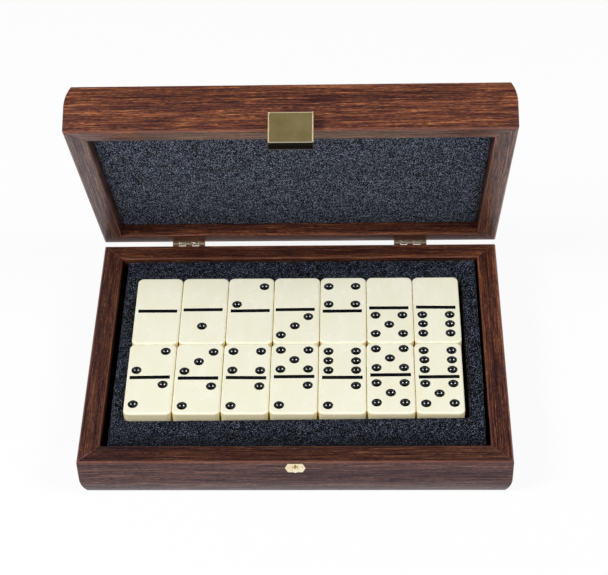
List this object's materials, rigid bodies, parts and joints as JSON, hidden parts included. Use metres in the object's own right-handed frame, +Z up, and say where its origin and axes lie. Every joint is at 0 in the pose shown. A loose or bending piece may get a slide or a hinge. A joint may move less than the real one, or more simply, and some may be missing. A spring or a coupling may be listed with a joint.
{
  "type": "domino storage box",
  "caption": "Hinged shallow walnut case with a padded lid, a snap flap and a foam tray that holds ivory domino tiles in two layers.",
  "frame": {"origin": "middle of the underside of the case", "axes": "+X to the right seen from the front, -Y towards the front with the latch, +Z up"},
  "size_m": [0.224, 0.1872, 0.1808],
  "materials": {
    "walnut": "satin walnut foil with grain along each rail",
    "walnut_panel": "satin walnut panel",
    "key_wood": "bare birch",
    "foam": "matte open cell foam",
    "ivory": "polished ivory resin with black spots",
    "brass": "satin pressed brass",
    "steel": "drawn wire"
  },
  "bodies": {
    "case": {"base_front_rail": "walnut", "base_back_rail": "walnut", "base_left_rail": "walnut", "base_right_rail": "walnut", "bottom_panel": "walnut_panel", "base_corner_keys": "key_wood", "foam_tray": "foam", "left_hinge_base_leaf": "brass", "right_hinge_base_leaf": "brass", "left_hinge_pin": "steel", "right_hinge_pin": "steel", "base_hinge_screws": "brass", "keeper_plate": "brass", "keeper_stud": "brass", "keeper_nails": "brass"},
    "lid": {"lid_front_rail": "walnut", "lid_back_rail": "walnut", "lid_left_rail": "walnut", "lid_right_rail": "walnut", "top_panel": "walnut_panel", "lid_corner_keys": "key_wood", "lid_pad": "foam", "left_hinge_lid_leaf": "brass", "right_hinge_lid_leaf": "brass", "lid_hinge_screws": "brass", "latch_backplate": "brass", "latch_pin": "steel", "latch_spring": "steel", "latch_nails": "brass"},
    "latch": {"latch_flap": "brass"},
    "tile_1_1": {"domino_1_1": "ivory"},
    "tile_0_0": {"domino_0_0": "ivory"},
    "tile_1_2": {"domino_1_2": "ivory"},
    "tile_0_1": {"domino_0_1": "ivory"},
    "tile_1_3": {"domino_1_3": "ivory"},
    "tile_2_0": {"domino_2_0": "ivory"},
    "tile_1_4": {"domino_1_4": "ivory"},
    "tile_0_3": {"domino_0_3": "ivory"},
    "tile_1_5": {"domino_1_5": "ivory"},
    "tile_4_0": {"domino_4_0": "ivory"},
    "tile_1_6": {"domino_1_6": "ivory"},
    "tile_0_5": {"domino_0_5": "ivory"},
    "tile_3_3": {"domino_3_3": "ivory"},
    "tile_0_6": {"domino_0_6": "ivory"},
    "tile_3_4": {"domino_3_4": "ivory"},
    "tile_2_2": {"domino_2_2": "ivory"},
    "tile_3_5": {"domino_3_5": "ivory"},
    "tile_3_2": {"domino_3_2": "ivory"},
    "tile_3_6": {"domino_3_6": "ivory"},
    "tile_4_2": {"domino_4_2": "ivory"},
    "tile_4_4": {"domino_4_4": "ivory"},
    "tile_5_2": {"domino_5_2": "ivory"},
    "tile_4_5": {"domino_4_5": "ivory"},
    "tile_6_2": {"domino_6_2": "ivory"},
    "tile_4_6": {"domino_4_6": "ivory"},
    "tile_5_5": {"domino_5_5": "ivory"},
    "tile_6_6": {"domino_6_6": "ivory"},
    "tile_6_5": {"domino_6_5": "ivory"}
  },
  "joints": [
    {"name": "latch_flap_pivot", "type": "hinge", "parent": "lid", "child": "latch", "pos_m": [0, 0.01195, 0.17709], "axis": [-1, 0, 0], "range_deg": [-6, 80], "stiffness_Nm_per_rad": 0.03},
    {"name": "lid_hinge", "type": "hinge", "parent": "case", "child": "lid", "pos_m": [0, 0.0824, 0.0262], "axis": [-1, 0, 0], "range_deg": [-62.7, 117.3]},
    {"name": "tile_1_1_lift", "type": "slide", "parent": "case", "child": "tile_1_1", "axis": [0, 0, 1], "range_m": [0, 0.03]},
    {"name": "tile_0_0_lift", "type": "slide", "parent": "tile_1_1", "child": "tile_0_0", "axis": [0, 0, 1], "range_m": [0, 0.03]},
    {"name": "tile_1_2_lift", "type": "slide", "parent": "case", "child": "tile_1_2", "axis": [0, 0, 1], "range_m": [0, 0.03]},
    {"name": "tile_0_1_lift", "type": "slide", "parent": "tile_1_2", "child": "tile_0_1", "axis": [0, 0, 1], "range_m": [0, 0.03]},
    {"name": "tile_1_3_lift", "type": "slide", "parent": "case", "child": "tile_1_3", "axis": [0, 0, 1], "range_m": [0, 0.03]},
    {"name": "tile_2_0_lift", "type": "slide", "parent": "tile_1_3", "child": "tile_2_0", "axis": [0, 0, 1], "range_m": [0, 0.03]},
    {"name": "tile_1_4_lift", "type": "slide", "parent": "case", "child": "tile_1_4", "axis": [0, 0, 1], "range_m": [0, 0.03]},
    {"name": "tile_0_3_lift", "type": "slide", "parent": "tile_1_4", "child": "tile_0_3", "axis": [0, 0, 1], "range_m": [0, 0.03]},
    {"name": "tile_1_5_lift", "type": "slide", "parent": "case", "child": "tile_1_5", "axis": [0, 0, 1], "range_m": [0, 0.03]},
    {"name": "tile_4_0_lift", "type": "slide", "parent": "tile_1_5", "child": "tile_4_0", "axis": [0, 0, 1], "range_m": [0, 0.03]},
    {"name": "tile_1_6_lift", "type": "slide", "parent": "case", "child": "tile_1_6", "axis": [0, 0, 1], "range_m": [0, 0.03]},
    {"name": "tile_0_5_lift", "type": "slide", "parent": "tile_1_6", "child": "tile_0_5", "axis": [0, 0, 1], "range_m": [0, 0.03]},
    {"name": "tile_3_3_lift", "type": "slide", "parent": "case", "child": "tile_3_3", "axis": [0, 0, 1], "range_m": [0, 0.03]},
    {"name": "tile_0_6_lift", "type": "slide", "parent": "tile_3_3", "child": "tile_0_6", "axis": [0, 0, 1], "range_m": [0, 0.03]},
    {"name": "tile_3_4_lift", "type": "slide", "parent": "case", "child": "tile_3_4", "axis": [0, 0, 1], "range_m": [0, 0.03]},
    {"name": "tile_2_2_lift", "type": "slide", "parent": "tile_3_4", "child": "tile_2_2", "axis": [0, 0, 1], "range_m": [0, 0.03]},
    {"name": "tile_3_5_lift", "type": "slide", "parent": "case", "child": "tile_3_5", "axis": [0, 0, 1], "range_m": [0, 0.03]},
    {"name": "tile_3_2_lift", "type": "slide", "parent": "tile_3_5", "child": "tile_3_2", "axis": [0, 0, 1], "range_m": [0, 0.03]},
    {"name": "tile_3_6_lift", "type": "slide", "parent": "case", "child": "tile_3_6", "axis": [0, 0, 1], "range_m": [0, 0.03]},
    {"name": "tile_4_2_lift", "type": "slide", "parent": "tile_3_6", "child": "tile_4_2", "axis": [0, 0, 1], "range_m": [0, 0.03]},
    {"name": "tile_4_4_lift", "type": "slide", "parent": "case", "child": "tile_4_4", "axis": [0, 0, 1], "range_m": [0, 0.03]},
    {"name": "tile_5_2_lift", "type": "slide", "parent": "tile_4_4", "child": "tile_5_2", "axis": [0, 0, 1], "range_m": [0, 0.03]},
    {"name": "tile_4_5_lift", "type": "slide", "parent": "case", "child": "tile_4_5", "axis": [0, 0, 1], "range_m": [0, 0.03]},
    {"name": "tile_6_2_lift", "type": "slide", "parent": "tile_4_5", "child": "tile_6_2", "axis": [0, 0, 1], "range_m": [0, 0.03]},
    {"name": "tile_4_6_lift", "type": "slide", "parent": "case", "child": "tile_4_6", "axis": [0, 0, 1], "range_m": [0, 0.03]},
    {"name": "tile_5_5_lift", "type": "slide", "parent": "tile_4_6", "child": "tile_5_5", "axis": [0, 0, 1], "range_m": [0, 0.03]},
    {"name": "tile_6_6_lift", "type": "slide", "parent": "case", "child": "tile_6_6", "axis": [0, 0, 1], "range_m": [0, 0.03]},
    {"name": "tile_6_5_lift", "type": "slide", "parent": "tile_6_6", "child": "tile_6_5", "axis": [0, 0, 1], "range_m": [0, 0.03]}
  ]
}
